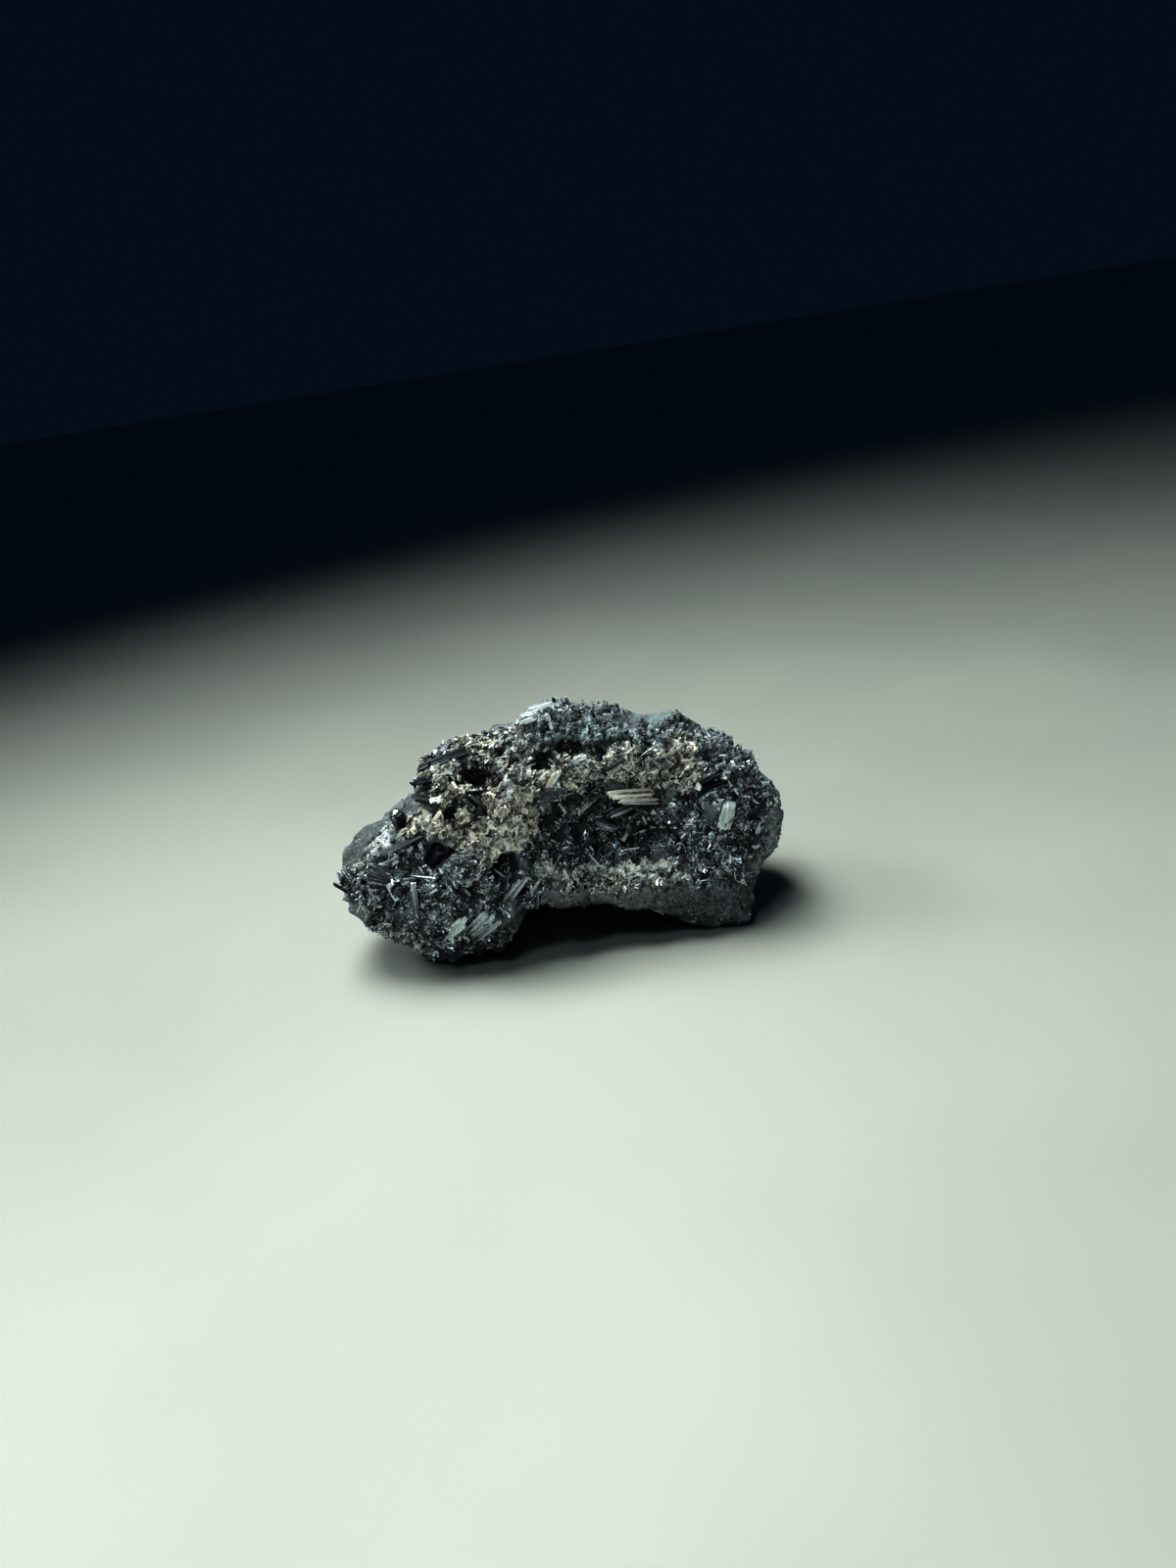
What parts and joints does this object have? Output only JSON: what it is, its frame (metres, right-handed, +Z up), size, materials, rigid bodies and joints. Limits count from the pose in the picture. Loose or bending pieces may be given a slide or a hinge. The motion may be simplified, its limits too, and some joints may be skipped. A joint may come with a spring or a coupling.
{
  "type": "manganite specimen",
  "caption": "Hand-sized manganite specimen: a curved slab of dark manganese oxide, hollow in front and lined with blades and needles, that rests on its own feet.",
  "frame": {"origin": "on the plane the specimen rests on, under the middle of its bounding box", "axes": "+X along the specimen's length, from the low rounded lobe to the steep end; +Z up; the hollow face that carries the crystals looks along -Y"},
  "size_m": [0.0902, 0.0466, 0.0463],
  "materials": {
    "rock": "rough, dull grey-black",
    "manganite": "submetallic, finely striated",
    "coated": "pale dusty coating over striated crystal"
  },
  "bodies": {
    "root": {"matrix": "rock", "beak_blades": "manganite", "beak_long_blade": "manganite", "coated_prism": "coated", "crest_laths": "coated", "dark_prism": "manganite", "flank_block": "manganite", "flank_plate": "manganite", "glossy_blades": "manganite", "ledge_lath": "coated", "left_fan": "manganite", "left_lath": "manganite", "lobe_prism": "manganite", "low_blades": "manganite", "pale_blade": "coated", "pale_pair": "coated", "ridge_blades": "manganite", "right_lath": "coated", "upper_left_blade": "manganite", "vug_lath_left": "manganite", "vug_lath_low": "coated", "vug_lath_right": "manganite"}
  },
  "joints": []
}
